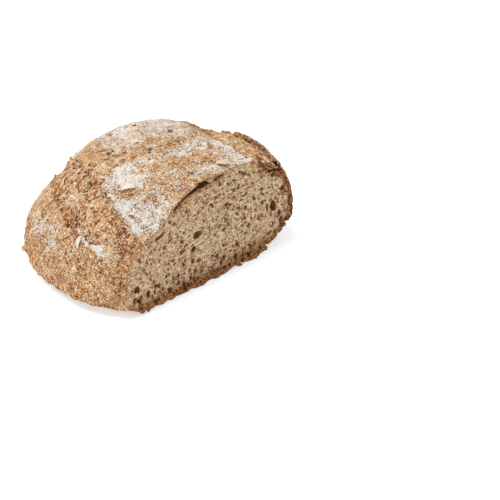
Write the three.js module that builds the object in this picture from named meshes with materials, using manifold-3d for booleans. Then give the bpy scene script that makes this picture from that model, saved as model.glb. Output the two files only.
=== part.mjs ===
// Oat sourdough bread: a low round hearth loaf with its front end cut off square.
//
// Millimetres, +Z up. The cut face looks to -Y, the loaf rests on its flat floor
// side, and the origin is the middle of its bounding box, on the floor.
//
// The loaf is one solid: a core inside a thin crust. Two long scores run along
// it. The crust is missing there, so the core shows as two sunken strips on
// either side of a raised top slab. A straight knife cut ends the loaf in front.

import * as THREE from "three";
import { mergeVertices } from "three/addons/utils/BufferGeometryUtils.js";
import Module from "manifold-3d";

const wasm = await Module();
wasm.setup();

// ---- Driving dimensions ---------------------------------------------------

const HALF_WIDTH = 80; // along X, at the widest level
const HALF_LENGTH = 85.9; // along Y, of the whole loaf before it was cut
const HEIGHT = 73.7;
const CUT_TO_WIDEST = 47.8; // from the knife cut to the widest section
const CREST_LEAN = { x: 12.0, y: -9.3 }; // how far the crest sits off the middle
const LEAN_POWER = 1.5;

// Seen from above the loaf is a slightly squared ellipse, and each flank rises
// from its own foot: the share of the full width that touches the floor, and the
// share of the height at which the flank is widest.
const FRONT_SQUARENESS = 2.22;
const BACK_SQUARENESS = 2.18;
const LEFT_FOOT = { floorShare: 0.79, widestShare: 0.091 };
const RIGHT_FOOT = { floorShare: 0.68, widestShare: 0.284 };
const SHOULDER = 1.72; // how soon the flank turns in towards the crest
const FULLNESS = 2.9; // how full the crown is

// Places where the dough swelled out (+) or sank in (-), and how far each one
// reaches along X, Y and Z. Y is measured from the cut.
const SWELLS = [
  { at: [45, 28, 69], reach: [14, 20, 14], rise: -1.0 }, // right of the crest
  { at: [60, 62, 61], reach: [20, 22, 20], rise: -5.4 }, // back right shoulder
  { at: [20, 95, 64], reach: [20, 20, 20], rise: 1.4 }, // back shoulder
  { at: [-26, 115, 40], reach: [16, 16, 16], rise: -3.6 }, // far end of the left score
  { at: [-50, 108, 24], reach: [18, 18, 18], rise: 0.9 }, // back left flank
  { at: [-60, 4, 38], reach: [12, 28, 12], rise: 4.1 }, // left flank at the cut
  { at: [-36, 2, 53], reach: [11, 26, 12], rise: -4.7 }, // left shoulder at the cut
  { at: [-68, -4, 6], reach: [12, 22, 9], rise: -3.0 }, // left foot at the cut
];

// A slow waver over the whole skin, as hand-shaped dough has.
const WAVER = { height: 0.5, across: 17, along: 23, up: 13 };

// The crust is this thick over the core, where a score has opened it.
const SCORE_DEPTH = 1.6;
const SCORE_FLOOR = 14; // the scores stay above this level

// The core's torn, stringy relief, with wavy strands that run along the loaf.
const TORN = { height: 0.5, strandPitch: 7, strandWave: 2.1, waveLength: 57, breakPitch: 17 };

// Each score is a leaf-shaped opening along the loaf, seen from above.
const SCORES = [
  { middle: [-50.2, 60], halfLength: 68, halfWidth: 11.5, slant: 0.32, bow: 18 }, // left
  { middle: [48, 18], halfLength: 62, halfWidth: 12.5, slant: 0.03, bow: -3 }, // right
];

// Near the cut the right score's outer edge is torn up into a low ridge, which
// breaks off bluntly at this share of the score's half length.
const LIP = { score: 1, height: 1.2, width: 3, endShare: 0.36 };

// Fineness of the skin.
const STEPS_ROUND = 90;
const STEPS_UP = 36;
const LEAF_STEPS = 24;

const CLEAR = 200; // larger than the loaf, for the cutting solids

// ---- Form of the dome -----------------------------------------------------

const mix = (a, b, share) => a + (b - a) * share;

// |v|^power with the sign of v.
const signedPower = (v, power) => Math.sign(v) * Math.abs(v) ** power;

// Half width of the flank at a height share, as a share of the widest section.
function flankShare(heightShare, foot) {
  const { floorShare, widestShare } = foot;
  if (heightShare < widestShare) {
    const below = (widestShare - heightShare) / widestShare;
    return 1 - (1 - floorShare) * below ** 2;
  }
  const above = (heightShare - widestShare) / (1 - widestShare);
  return Math.max(0, 1 - above ** SHOULDER) ** (1 / FULLNESS);
}

// How far the dough stands out of, or sinks into, the plain dome at a point.
function unevenness(point) {
  let rise = 0;
  for (const swell of SWELLS) {
    const away = point.clone().sub(new THREE.Vector3(...swell.at)).divide(new THREE.Vector3(...swell.reach));
    rise += swell.rise * Math.exp(-away.lengthSq());
  }
  const waver =
    Math.sin(point.x / WAVER.across + point.z / WAVER.up) *
    Math.sin(point.y / WAVER.along + point.x / WAVER.up);
  return rise + WAVER.height * waver;
}

function tornRelief(point) {
  const wave = TORN.strandWave * Math.sin((2 * Math.PI * point.y) / TORN.waveLength);
  const strands = Math.sin((2 * Math.PI * point.x) / TORN.strandPitch + wave);
  const breaks = Math.sin((2 * Math.PI * (point.y + point.z)) / TORN.breakPitch + wave);
  return TORN.height * strands * breaks;
}

// A point of the dome: turn is the angle round the loaf, heightShare runs from
// the floor (0) to the crest (1), and inset is the depth below the crust.
function domePoint(turn, heightShare, inset, relief) {
  const cos = Math.cos(turn);
  const sin = Math.sin(turn);
  const rightness = 0.5 + 0.5 * cos;
  const foot = {
    floorShare: mix(LEFT_FOOT.floorShare, RIGHT_FOOT.floorShare, rightness),
    widestShare: mix(LEFT_FOOT.widestShare, RIGHT_FOOT.widestShare, rightness),
  };
  const out = flankShare(heightShare, foot);
  const squareness = sin > 0 ? BACK_SQUARENESS : FRONT_SQUARENESS;
  const lean = heightShare ** LEAN_POWER;
  const point = new THREE.Vector3(
    (HALF_WIDTH - inset) * out * signedPower(cos, 2 / squareness) + CREST_LEAN.x * lean,
    (HALF_LENGTH - inset) * out * signedPower(sin, 2 / squareness) + CUT_TO_WIDEST + CREST_LEAN.y * lean,
    (HEIGHT - inset) * heightShare,
  );
  const outward = point.clone().sub(new THREE.Vector3(0, CUT_TO_WIDEST, 0)).normalize();
  point.addScaledVector(outward, unevenness(point) + relief(point));
  if (heightShare === 0) point.z = 0;
  return point;
}

// The closed dome: rings from the floor to the crest, with a point at each end.
function domeGeometry(inset, relief = () => 0) {
  const rings = [];
  for (let level = 0; level < STEPS_UP; level++) {
    const heightShare = Math.sin((level / STEPS_UP) * (Math.PI / 2));
    const ring = [];
    for (let step = 0; step < STEPS_ROUND; step++)
      ring.push(domePoint((step / STEPS_ROUND) * 2 * Math.PI, heightShare, inset, relief));
    rings.push(ring);
  }
  const floorMiddle = new THREE.Vector3(0, CUT_TO_WIDEST, 0);
  const crest = domePoint(0, 1, inset, relief);

  const points = [...rings.flat(), floorMiddle, crest];
  const floorIndex = points.length - 2;
  const crestIndex = points.length - 1;
  const faces = [];
  for (let step = 0; step < STEPS_ROUND; step++) {
    const next = (step + 1) % STEPS_ROUND;
    faces.push(floorIndex, next, step);
    for (let level = 0; level < STEPS_UP - 1; level++) {
      const low = level * STEPS_ROUND;
      const high = low + STEPS_ROUND;
      faces.push(low + step, low + next, high + next);
      faces.push(low + step, high + next, high + step);
    }
    const last = (STEPS_UP - 1) * STEPS_ROUND;
    faces.push(last + step, last + next, crestIndex);
  }
  const geometry = new THREE.BufferGeometry();
  geometry.setAttribute("position", new THREE.Float32BufferAttribute(points.flatMap((p) => p.toArray()), 3));
  geometry.setIndex(faces);
  return geometry;
}

// ---- Scores and lip -------------------------------------------------------

// Middle line and half width of a score, at a share (-1 to 1) of its length.
function scoreAt(score, share) {
  const y = score.middle[1] + share * score.halfLength;
  const x = score.middle[0] + score.slant * share * score.halfLength + score.bow * share * share;
  const half = score.halfWidth * (1 - share * share);
  return { x, y, half };
}

// An upright prism over a closed outline of points, from the scores' floor up.
function uprightPrism(outline) {
  const geometry = new THREE.ExtrudeGeometry(new THREE.Shape(outline), { depth: CLEAR, bevelEnabled: false });
  geometry.translate(0, 0, SCORE_FLOOR);
  return geometry;
}

function scorePrism(score) {
  const right = [];
  const left = [];
  for (let step = 0; step <= LEAF_STEPS; step++) {
    const { x, y, half } = scoreAt(score, -1 + (2 * step) / LEAF_STEPS);
    right.push(new THREE.Vector2(x + half, y));
    if (step > 0 && step < LEAF_STEPS) left.unshift(new THREE.Vector2(x - half, y));
  }
  return uprightPrism([...right, ...left]);
}

// A narrow band just outside the score's right edge, from its front end on.
function lipPrism(score) {
  const inner = [];
  const outer = [];
  for (let step = 0; step <= LEAF_STEPS; step++) {
    const { x, y, half } = scoreAt(score, mix(-1, LIP.endShare, step / LEAF_STEPS));
    inner.unshift(new THREE.Vector2(x + half, y));
    outer.push(new THREE.Vector2(x + half + LIP.width, y));
  }
  return uprightPrism([...outer, ...inner]);
}

// ---- Joining and cutting --------------------------------------------------

function toSolid(geometry) {
  const bare = geometry.clone();
  bare.deleteAttribute("normal");
  bare.deleteAttribute("uv");
  const merged = mergeVertices(bare);
  return new wasm.Manifold(
    new wasm.Mesh({
      numProp: 3,
      vertProperties: new Float32Array(merged.attributes.position.array),
      triVerts: new Uint32Array(merged.index.array),
    }),
  );
}

function toGeometry(solid) {
  const mesh = solid.getMesh();
  const geometry = new THREE.BufferGeometry();
  geometry.setAttribute("position", new THREE.BufferAttribute(new Float32Array(mesh.vertProperties), 3));
  geometry.setIndex(new THREE.BufferAttribute(new Uint32Array(mesh.triVerts), 1));
  geometry.computeVertexNormals();
  return geometry;
}

function cutLoaf() {
  let crust = toSolid(domeGeometry(0));
  for (const score of SCORES) crust = crust.subtract(toSolid(scorePrism(score)));
  const core = toSolid(domeGeometry(SCORE_DEPTH, tornRelief));
  const lip = toSolid(domeGeometry(-LIP.height)).intersect(toSolid(lipPrism(SCORES[LIP.score])));
  const whole = crust.add(core).add(lip);

  // The knife cut: everything in front of the plane Y = 0 is gone.
  const cutAway = new THREE.BoxGeometry(2 * CLEAR, CLEAR, 2 * CLEAR);
  cutAway.translate(0, -CLEAR / 2, 0);
  const geometry = toGeometry(whole.subtract(toSolid(cutAway)));

  // Bring the middle of the bounding box's floor to the origin.
  geometry.computeBoundingBox();
  const { min, max } = geometry.boundingBox;
  geometry.translate(-(min.x + max.x) / 2, -(min.y + max.y) / 2, -min.z);
  return geometry;
}

// ---- The bread ------------------------------------------------------------

const CRUST_COLOUR = "#b88658";

const crustMaterial = new THREE.MeshStandardMaterial({ color: CRUST_COLOUR, roughness: 0.9, metalness: 0 });

const loaf = new THREE.Mesh(cutLoaf(), crustMaterial);
loaf.name = "loaf";

const bread = new THREE.Group();
bread.add(loaf);

export default bread;
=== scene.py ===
"""Oat sourdough bread: a round hearth loaf with its front end cut off.

The cut loaf of the frame is rebuilt as a torn, floured crust and an open crumb that
meet at the rim of the cut. Both are carved in one volume of small cells, which is then
meshed. Oat flakes and chips of bran are thin solids set on that surface, and the flour
is a part of the crust's material.
"""

import math

import bpy
import numpy as np
import openvdb as vdb
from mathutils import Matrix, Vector


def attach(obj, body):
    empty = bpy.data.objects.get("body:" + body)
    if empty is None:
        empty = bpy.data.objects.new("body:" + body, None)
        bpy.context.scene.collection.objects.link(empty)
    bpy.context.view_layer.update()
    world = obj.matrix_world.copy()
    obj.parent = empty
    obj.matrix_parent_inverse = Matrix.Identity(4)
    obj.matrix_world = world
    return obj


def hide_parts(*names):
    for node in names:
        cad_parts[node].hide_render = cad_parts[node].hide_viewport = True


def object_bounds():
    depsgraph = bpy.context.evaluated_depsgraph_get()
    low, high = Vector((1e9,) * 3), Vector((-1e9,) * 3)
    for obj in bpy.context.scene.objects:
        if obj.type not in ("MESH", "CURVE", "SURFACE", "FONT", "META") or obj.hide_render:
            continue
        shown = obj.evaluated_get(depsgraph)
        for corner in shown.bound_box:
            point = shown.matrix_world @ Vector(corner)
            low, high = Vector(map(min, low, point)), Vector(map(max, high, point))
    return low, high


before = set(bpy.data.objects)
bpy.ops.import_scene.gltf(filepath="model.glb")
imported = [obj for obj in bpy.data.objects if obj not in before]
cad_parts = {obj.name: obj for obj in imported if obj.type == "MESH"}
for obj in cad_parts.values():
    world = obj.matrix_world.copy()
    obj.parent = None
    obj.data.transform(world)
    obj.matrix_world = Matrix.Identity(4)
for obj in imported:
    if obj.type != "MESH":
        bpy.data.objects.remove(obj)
cad_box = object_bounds()

MM = 0.001  # metres in a millimetre
BODY = "root"
SEED = 41

# The loaf's own coordinates, in millimetres, are used for all that is made here:
# X from the dough's own middle, Y from the knife cut into the loaf, Z up.
MIDDLE_X = 1.1
OFFSET = np.array([MIDDLE_X, -cad_box[0].y / MM, 0.0])

# Scores as the solid has them: leaf-shaped openings along the loaf.
SCORE_DEPTH = 1.6
SCORE_EDGE = 0.4  # half width of the step at a score's edge
TEAR_WANDER = 1.2  # how far the torn crust's edge strays from the score's
RIGHT_FADE, LEFT_FADE = 0.6, 1.0  # half width of a torn score's outer edge
SOFT_FADE = 7.0  # what it gains towards both ends of the left score
LEFT_SCORE = dict(middle=(-50.2, 60), half_length=68, half_width=11.5, slant=0.32, bow=18, slab_side=1)
RIGHT_SCORE = dict(middle=(48, 18), half_length=62, half_width=12.5, slant=0.03, bow=-3, slab_side=-1)

CELL = 0.42  # edge of a cell of the carving volume
REACH = 8.0  # how deep below the crust distances are known
SKIN = 2.6  # carving touches only what lies this near the surface
FRONT = 3.2  # how far the volume goes on in front of the knife cut
ON_PLANE = 1e-3  # corners of the solid that lie this near the cut are on it
MOST_FACES = 195000  # triangles of one piece at most
SEED_STEP = 17  # from the seed of one layer of noise to the next one's


# ---- Helpers for fields of numbers


def smooth(low, high, value):
    """0 at low, 1 at high and an even curve between; low may be the larger one."""
    t = np.clip((value - low) / (high - low), 0, 1)
    return t * t * (3 - 2 * t)


def corner_weights(share):
    """A cell's eight corners, each as 0 or 1 in X, Y and Z, and their weights at places in it."""
    for corner in range(8):
        bits = [(corner >> axis) & 1 for axis in range(3)]
        weight = np.ones(len(share), share.dtype)
        for axis in range(3):
            weight *= share[:, axis] if bits[axis] else 1 - share[:, axis]
        yield bits, weight


def noise(points, size, seed):
    """Smooth noise between about -1 and 1, with lumps of a size and a pattern for each seed."""
    wrap = 64
    table = np.random.default_rng(SEED + seed).uniform(-1, 1, wrap**3).astype(np.float32)
    q = points / np.asarray(size, np.float32)
    low = np.floor(q).astype(np.int32)
    f = (q - low).astype(np.float32)
    f = f * f * (3 - 2 * f)
    low &= wrap - 1
    high = (low + 1) & (wrap - 1)
    total = np.zeros(len(points), np.float32)
    for bits, weight in corner_weights(f):
        index = [high[:, a] if bits[a] else low[:, a] for a in range(3)]
        total += weight * table[(index[0] * wrap + index[1]) * wrap + index[2]]
    return total


def layered(points, size, seed, layers=3):
    """Several layers of noise, each half the size and half the height of the one before."""
    total = np.zeros(len(points), np.float32)
    for layer in range(layers):
        total += 0.5**layer * noise(points, np.asarray(size) / 2**layer, seed + SEED_STEP * layer)
    return total


def uneven(rng, middle, spread, least, most):
    """A random size around a middle one, between the least and the most."""
    return float(np.clip(rng.lognormal(math.log(middle), spread), least, most))


def turned(first, second, turn):
    """Two coordinates turned by an angle: along its direction and across it."""
    along = first * math.cos(turn) + second * math.sin(turn)
    across = second * math.cos(turn) - first * math.sin(turn)
    return along, across


def score_sides(points, score):
    """Distances inside a score's two edges: the one at the raised slab and the outer one."""
    share = (points[:, 1] - score["middle"][1]) / score["half_length"]
    middle = score["middle"][0] + score["slant"] * share * score["half_length"]
    middle += score["bow"] * share**2
    half = score["half_width"] * (1 - share**2)
    across = (points[:, 0] - middle) * score["slab_side"]
    return half - across, half + across


def score_mask(points, score):
    """1 in a score as the solid has it and 0 outside."""
    slab, outer = score_sides(points, score)
    return smooth(-SCORE_EDGE, SCORE_EDGE, np.minimum(slab, outer))


def torn_mask(points, score):
    """1 in the torn crust of a score: sharp at the slab, and fading out at the left flank."""
    slab, outer = score_sides(points, score)
    tear = TEAR_WANDER * layered(points, (5, 8, 5), 3)
    fade = RIGHT_FADE
    if score is LEFT_SCORE:
        sharp = smooth(3, 12, points[:, 1]) * smooth(46, 36, points[:, 1])
        fade = LEFT_FADE + SOFT_FADE * (1 - sharp)
    return smooth(-0.5, 0.6, slab + tear) * smooth(-fade, fade, outer + tear)


def from_line(points, start, end):
    """Distance of each point from a straight line between two places."""
    start, end = np.array(start, float), np.array(end, float)
    along = end - start
    share = np.clip((points - start) @ along / (along @ along), 0, 1)
    return np.linalg.norm(points - start - share[:, None] * along, axis=1)


# ---- The volume


def crust_triangles():
    """The solid's skin without its cut face, and the same mirrored at the cut."""
    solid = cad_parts["loaf"]
    corners = read_vertices(solid) / MM + OFFSET
    mesh = solid.data
    mesh.calc_loop_triangles()
    faces = np.zeros(len(mesh.loop_triangles) * 3, np.int32)
    mesh.loop_triangles.foreach_get("vertices", faces)
    faces = faces.reshape(-1, 3)
    on_cut = (np.abs(corners[faces][:, :, 1]) < ON_PLANE).all(axis=1)
    faces = faces[~on_cut]
    mirrored = corners * [1, -1, 1]
    points = np.concatenate([corners, mirrored]).astype(np.float32)
    triangles = np.concatenate([faces, faces[:, ::-1] + len(corners)]).astype(np.uint32)
    return points, triangles


class Volume:
    """Signed distance to the crust (negative inside) in cells behind the cut."""

    def __init__(self):
        points, triangles = crust_triangles()
        self.scale = vdb.createLinearTransform(voxelSize=CELL)
        grid = vdb.FloatGrid.createLevelSetFromPolygons(
            points, triangles=triangles, transform=self.scale, halfWidth=REACH / CELL
        )
        low, high = grid.evalActiveVoxelBoundingBox()
        front = int(-FRONT / CELL)
        self.low = np.array([low[0], front, low[2]])
        shape = np.array(high) - self.low + 1
        self.crust = np.zeros(shape, np.float32)
        grid.copyToArray(self.crust, ijk=tuple(int(v) for v in self.low))

    def places(self, where):
        """Middles of the chosen cells, in millimetres."""
        return ((np.argwhere(where) + self.low) * CELL).astype(np.float32)

    def depth_at(self, points):
        """Depth below the plain crust at any points, read between the cells."""
        q = points / CELL - self.low
        low = np.clip(np.floor(q).astype(int), 0, np.array(self.crust.shape) - 2)
        f = np.clip(q - low, 0, 1)
        total = np.zeros(len(points))
        for bits, weight in corner_weights(f):
            at = low + bits
            total += weight * self.crust[at[:, 0], at[:, 1], at[:, 2]]
        return -total

    def block(self, centre, reach):
        """The cells around a place: their slices, and how far they lie from it in X, Y and Z."""
        low = np.maximum(np.floor((centre - reach) / CELL).astype(int) - self.low, 0)
        high = np.ceil((centre + reach) / CELL).astype(int) - self.low + 1
        high = np.maximum(np.minimum(high, self.crust.shape), low)
        axes = [(np.arange(low[a], high[a]) + self.low[a]) * CELL - centre[a] for a in range(3)]
        cells = tuple(slice(low[a], high[a]) for a in range(3))
        return cells, np.meshgrid(*axes, indexing="ij")


# ---- Crust relief


CLUMP = ((43.5, 2.0, 61.5), (59.0, 2.0, 53.0))  # torn lump where the right score meets the cut
FAR_TEAR = ((-30, 92, 54), (-43, 58, 58))  # loose flaps along the left score's far end

# Cracks of the crust, and pits as short cracks: two ends, half width and depth.
CRACKS = [
    ((-52.8, 53.5, 51.1), (-58.3, 44.2, 46.9), 0.9, 1.0),
    ((-58.8, 35.3, 46.7), (-52.9, 33.8, 51.6), 0.9, 1.0),
    ((-45.4, 36.8, 58.9), (-48.8, 31.1, 54.5), 1.1, 1.2),
    ((-56.0, 15.8, 47.6), (-60.6, 11.5, 43.3), 0.9, 1.3),
    ((-63.6, 55.9, 42.7), (-65.6, 40.3, 41.2), 0.8, 0.8),
    ((-69.4, 25.1, 33.6), (-68.4, 18.1, 34.2), 1.1, 1.4),
    ((-74.4, 44.0, 24.8), (-75.5, 40.0, 22.1), 0.9, 1.0),
    ((-36.7, 68.9, 60.0), (-42.5, 57.1, 58.6), 1.2, 1.5),
    ((-26.3, 96.2, 53.5), (-36.4, 78.1, 57.8), 1.3, 1.6),
    ((-43.5, 48.4, 58.3), (-43.9, 42.3, 58.2), 1.0, 1.2),
    ((-50.2, 15.2, 51.5), (-49.2, 19.8, 54.6), 0.8, 0.8),
    ((-53.8, 27.2, 50.7), (-54.5, 21.0, 49.5), 1.0, 1.1),
    ((-5.7, 48.7, 72.6), (-7.0, 44.5, 72.6), 1.0, 1.2),
    ((8.2, 19.3, 73.1), (11.1, 15.4, 72.9), 0.8, 0.9),
    ((15.6, 9.6, 72.4), (19.5, 1.5, 70.6), 0.8, 1.1),
    ((-41.2, 30.2, 62.2), (-37.0, 24.0, 64.0), 1.5, 2.0),
    ((13.8, 7.5, 72.2), (16.9, 2.6, 71.0), 1.0, 1.0),
    ((-20.0, 66.6, 68.4), (-19.0, 65.8, 68.6), 1.0, 1.7),
    ((-22.3, 60.1, 69.0), (-21.5, 59.3, 69.2), 1.0, 1.6),
    ((-16.2, 59.8, 70.3), (-15.6, 58.6, 70.5), 1.0, 1.6),
    ((-16.4, 48.3, 71.3), (-15.4, 47.9, 71.4), 1.0, 1.7),
    ((-22.5, 50.5, 69.9), (-22.6, 52.7, 69.7), 1.0, 1.6),
    ((-32.2, 71.2, 63.7), (-31.0, 70.4, 64.4), 1.0, 1.6),
    ((-29.9, 58.6, 66.9), (-28.9, 57.8, 67.4), 1.1, 1.7),
    ((-3.4, 60.7, 72.2), (-4.4, 60.9, 72.1), 1.1, 1.6),
    ((-28.6, 43.0, 68.5), (-28.0, 40.6, 68.8), 1.1, 1.5),
    ((-46.3, 17.6, 55.2), (-45.6, 15.0, 55.7), 1.2, 1.7),
    ((-35.6, 80.3, 57.9), (-37.6, 73.0, 59.0), 1.3, 1.9),
    ((-59.3, 69.0, 45.0), (-58.6, 66.6, 45.4), 1.3, 1.9),
    ((-68.2, 21.6, 35.6), (-68.8, 18.6, 34.0), 1.7, 2.2),
    ((-43.4, 34.6, 60.3), (-45.6, 33.2, 58.8), 1.1, 1.6),
]

# Lumps grown onto the crust: place and radius.
LUMPS = [
    ((-18.4, 68.7, 68.4), 1.6), ((-16.2, 69.3, 68.8), 1.2), ((-18.9, 60.4, 69.7), 1.7),
    ((-21.6, 53.4, 69.9), 1.3), ((-26.8, 52.9, 68.6), 1.5), ((-24.2, 65.5, 67.6), 1.4),
    ((-31.4, 67.3, 64.9), 1.3), ((-35.6, 67.1, 63.0), 1.7), ((-17.8, 76.1, 66.9), 1.3),
    ((-43.6, 43.6, 58.3), 1.6), ((-45.2, 39.0, 57.3), 1.5), ((-39.8, 50.6, 62.8), 1.3),
    ((-4.2, 48.7, 72.8), 1.2), ((-60.8, 85.6, 35.7), 2.2), ((-64.1, 7.6, 39.7), 1.9),
    ((-68.6, 9.4, 26.6), 1.4), ((-67.6, 5.3, 24.6), 1.2), ((-69.0, 13.2, 29.2), 1.5),
    ((-75.3, 35.6, 21.9), 1.4), ((-71.5, 91.0, 12.5), 1.6), ((11.7, 88.3, 67.5), 1.4),
    ((14.5, 85.0, 69.0), 1.0), ((55.3, 57.8, 60.8), 1.3),
]
PIT_SIDE = -2.3  # direction, in radians about Z, of the pits beside the lumps
PIT_WIDTH = 0.5  # how far a pit reaches out from its lump
LUMP_SIDES = (0.85, 1.35)  # a lump's half width towards its pit and across, for a radius of 1
LUMP_TRIES = 2400  # places tried for the small lumps
CROWDED = 0.72  # they grow only where the noise that gathers them is above this
SMALL_LUMP = (0.7, 0.35, 0.45, 1.4)  # their radius: middle, spread, least and most

# The torn strands' directions, in radians from the score's width: two in the left score.
LEFT_STRANDS = (1.15, 2.0)
RIGHT_STRANDS = 0.2
STRAND_SIZE = (1.7, 6.5, 9)  # a strand's width, length and height
SLOPE_X, SLOPE_Z = 0.8, 0.6  # how the left score's slope lies


def terraced(value, steps):
    """An even rise turned into steps with steep fronts, like torn layers."""
    scaled = value * steps
    low = np.floor(scaled)
    return (low + smooth(0.32, 0.68, scaled - low)) / steps


def strands_in(points, turn, seed):
    """Ridges that lie in the left score's slope, turned from the direction of its width."""
    width, length, height = STRAND_SIZE
    cos, sin = math.cos(turn), math.sin(turn)
    across = np.array([cos * SLOPE_X, sin, cos * SLOPE_Z], np.float32)
    along = np.array([-sin * SLOPE_X, cos, -sin * SLOPE_Z], np.float32)
    laid = np.stack([points @ across / width, points @ along / length, points[:, 2] / height], 1)
    return 1 - 2.2 * np.abs(noise(laid, 1.0, seed))


def broad_relief(points, left, right):
    """The crust's soft swellings, and the scores filled again where the crust isn't torn."""
    filled = score_mask(points, LEFT_SCORE) - left + score_mask(points, RIGHT_SCORE) - right
    return 0.45 * noise(points, 15, 11) + 0.35 * noise(points, 6.5, 12) + SCORE_DEPTH * filled


def torn_layers(points, plates):
    """How the torn crust of both scores stands out: strands, flakes, chips and plates."""
    either = noise(points, 6, 20)
    first, second = (strands_in(points, turn, seed) for turn, seed in zip(LEFT_STRANDS, (21, 23)))
    left = np.where(either > 0, first, second)
    strands = np.where(points[:, 0] < 0, left, strands_in(points, RIGHT_STRANDS, 21))
    strands *= smooth(0.0, 0.12, np.abs(either))
    flakes = layered(points, (4.4, 5.5, 4.4), 22)
    chips = layered(points, (1.6, 2.2, 1.6), 19, layers=2)
    return 0.46 * strands + 0.20 * flakes + 0.12 * chips + 0.5 * plates


def open_cracks(points, rise):
    """Lowers the crust along the cracks."""
    for start, end, width, depth in CRACKS:
        middle = (np.array(start) + end) / 2
        reach = np.abs(np.array(start) - end) / 2 + 3
        near = (np.abs(points - middle.astype(np.float32)) < reach).all(axis=1)
        away = from_line(points[near], start, end) + 0.7 * noise(points[near], 2.5, 28)
        rise[near] -= depth * smooth(width, 0.15 * width, away)


def crust_relief(points):
    """How far the crust stands out of the plain solid; the weights are millimetres."""
    left, right = torn_mask(points, LEFT_SCORE), torn_mask(points, RIGHT_SCORE)
    rise = broad_relief(points, left, right) + 0.26 * layered(points, 2.9, 13, layers=2)
    creases = np.abs(noise(points, (11, 8, 9), 14))
    rise -= 0.55 * smooth(0.09, 0.0, creases) * smooth(-0.1, 0.4, noise(points, 19, 15))
    plates = terraced(layered(points, (9, 11, 9), 16), 2.6)
    rise += 0.45 * plates * smooth(-0.2, 0.5, noise(points, 17, 17))
    rise += np.maximum(left, right) * torn_layers(points, plates)
    open_cracks(points, rise)
    lumps = layered(points, 4.2, 24, layers=2)
    rise += 1.9 * lumps * smooth(6.0, 2.0, from_line(points, *CLUMP))
    rise += 1.5 * lumps * smooth(7.0, 3.0, from_line(points, *FAR_TEAR))
    rise += 0.8 * layered(points, (5, 5, 3), 25, layers=2) * smooth(7, 2, points[:, 2])
    return rise


def grow_lump(shape, volume, centre, radius, pit, turn):
    """Sets one lump, a ball pressed flat one way, on the crust with a pit at one side."""
    centre = np.array(centre, float)
    cells, (dx, dy, dz) = volume.block(centre, radius * 1.4 + 1.2)
    u, v = turned(dx, dy, turn)
    ball = np.sqrt((u / LUMP_SIDES[0]) ** 2 + (v / LUMP_SIDES[1]) ** 2 + dz**2) - radius
    places = np.stack([dx.ravel(), dy.ravel(), dz.ravel()], 1) + centre
    ball += 0.3 * radius * noise(places.astype(np.float32), 0.9 * radius, 29).reshape(ball.shape)
    side = smooth(0.1, 0.8, u / np.maximum(np.hypot(u, v), 0.1))
    around = shape[cells] + pit * side * np.exp(-((ball / PIT_WIDTH) ** 2))
    shape[cells] = np.minimum(around, ball)


def grow_lumps(shape, volume):
    """The named lumps and many small ones in clusters."""
    rng = np.random.default_rng(SEED + 5)
    for centre, radius in LUMPS:
        grow_lump(shape, volume, centre, radius * 1.05, 1.0, PIT_SIDE + rng.uniform(-0.8, 0.8))
    skin = np.argwhere(np.abs(shape) < 0.2)
    spots = ((skin[rng.integers(0, len(skin), LUMP_TRIES)] + volume.low) * CELL).astype(np.float32)
    crowd = noise(spots, 20, 26) + 0.7 * noise(spots, 8, 27)
    crowd -= 0.35 * smooth(38, 48, spots[:, 0]) + 0.6 * torn_mask(spots, LEFT_SCORE)
    crowd[(spots[:, 2] < 3) | (spots[:, 1] < 1.5)] = -1
    for spot in spots[crowd > CROWDED]:
        radius = uneven(rng, *SMALL_LUMP)
        grow_lump(shape, volume, spot, radius, 0.7, PIT_SIDE + rng.uniform(-1.4, 1.4))


def carve_crust(volume):
    """The distances of the crust with its relief and lumps."""
    near = np.abs(volume.crust) < SKIN
    shape = volume.crust.copy()
    shape[near] -= crust_relief(volume.places(near))
    grow_lumps(shape, volume)
    return shape


# ---- Crumb

GRAIN_MIDDLE = (4.0, 10.0)  # X and Z that the crumb's rings run around
GRAIN_SQUASH = 1.3  # how much wider than high the rings are
SIDE_FROM, SIDE_TO = 30.0, 60.0  # from the middle: pores lie flat up to here and stand from there
DRAWN = 1.7  # how much longer than wide the sponge's pores are
STICKS_OUT = 2.6  # how far the base crust comes out in front of the cut at most

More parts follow.
